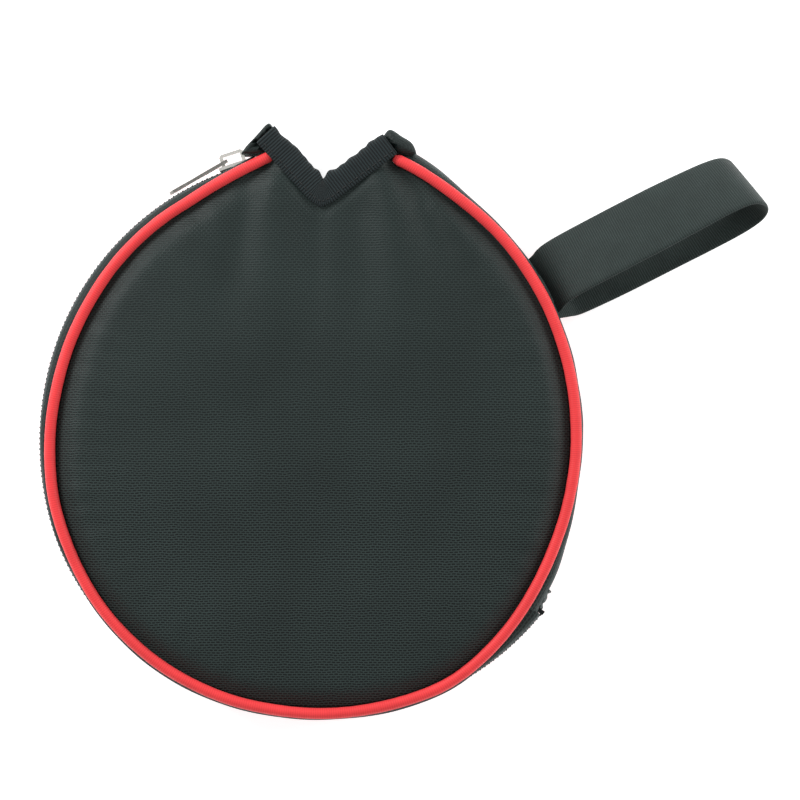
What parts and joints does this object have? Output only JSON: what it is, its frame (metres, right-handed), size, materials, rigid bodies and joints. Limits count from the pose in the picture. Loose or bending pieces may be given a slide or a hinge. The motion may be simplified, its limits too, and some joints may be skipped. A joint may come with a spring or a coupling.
{
  "type": "racket case",
  "caption": "Soft round padded racket case with piped edges, a V-shaped mouth, a zip round one side and a webbing wrist loop.",
  "frame": {"origin": "on the back face, at the centre of the zip's circle", "axes": "+Z out of the front panel, +Y towards the mouth, +X towards the wrist strap's side"},
  "size_m": [0.2574, 0.2093, 0.036],
  "materials": {
    "shell_cloth": "coated oxford weave",
    "padding_foam": "soft foam",
    "lining_cloth": "thin plain weave",
    "piping_cloth": "bright ribbed tape",
    "piping_core": "extruded cord",
    "binding_ribbon": "ribbed ribbon",
    "zip_tape": "herringbone tape",
    "zip_coil": "drawn nylon",
    "zip_metal": "bright nickel plate",
    "stop_metal": "crimped",
    "strap_webbing": "ribbed webbing"
  },
  "bodies": {
    "base": {"back_foam": "padding_foam", "back_gusset_strip": "shell_cloth", "back_lining": "lining_cloth", "back_mouth_binding": "binding_ribbon", "back_panel": "shell_cloth", "back_piping": "piping_cloth", "back_piping_cord": "piping_core", "back_seam_binding": "binding_ribbon", "front_foam_margin": "padding_foam", "front_lining_margin": "lining_cloth", "front_panel_margin": "shell_cloth", "front_piping_margin": "piping_cloth", "front_piping_margin_cord": "piping_core", "front_seam_binding_margin": "binding_ribbon", "hinge_gusset": "shell_cloth", "mouth_end_back": "binding_ribbon", "mouth_end_hinge": "binding_ribbon", "strap_anchor": "strap_webbing", "zip_bottom_stop": "stop_metal", "zip_coil_back": "zip_coil", "zip_end_tab": "shell_cloth", "zip_tape_back": "zip_tape", "zip_top_stop_back": "stop_metal"},
    "lid": {"front_panel": "shell_cloth", "front_foam": "padding_foam", "front_lining": "lining_cloth", "front_piping": "piping_cloth", "front_piping_cord": "piping_core", "front_seam_binding": "binding_ribbon", "front_mouth_binding": "binding_ribbon", "front_gusset_strip": "shell_cloth", "zip_tape_front": "zip_tape", "zip_coil_front": "zip_coil", "zip_top_stop_front": "stop_metal", "mouth_end_front": "binding_ribbon"},
    "slider": {"slider_body": "zip_metal", "slider_bridge": "zip_metal"},
    "pull": {"pull_tab": "zip_metal"},
    "strap": {"wrist_strap": "strap_webbing"}
  },
  "joints": [
    {"name": "front_fold", "type": "hinge", "parent": "base", "child": "lid", "pos_m": [0.05171, 0.01888, 0.0361], "axis": [-0.2965, 0.955, 0], "range_deg": [0, 120]},
    {"name": "slider_travel", "type": "hinge", "parent": "base", "child": "slider", "pos_m": [0, 0, 0.018], "axis": [0, 0, 1], "range_deg": [0, 208]},
    {"name": "pull_swing", "type": "hinge", "parent": "slider", "child": "pull", "pos_m": [-0.03411, 0.09722, 0.018], "axis": [0, 0, -1], "range_deg": [0, 155]},
    {"name": "strap_swing", "type": "hinge", "parent": "base", "child": "strap", "pos_m": [0.08154, 0.05269, 0.01381], "axis": [0.4495, -0.8109, 0.3746], "range_deg": [-40, 40]}
  ]
}
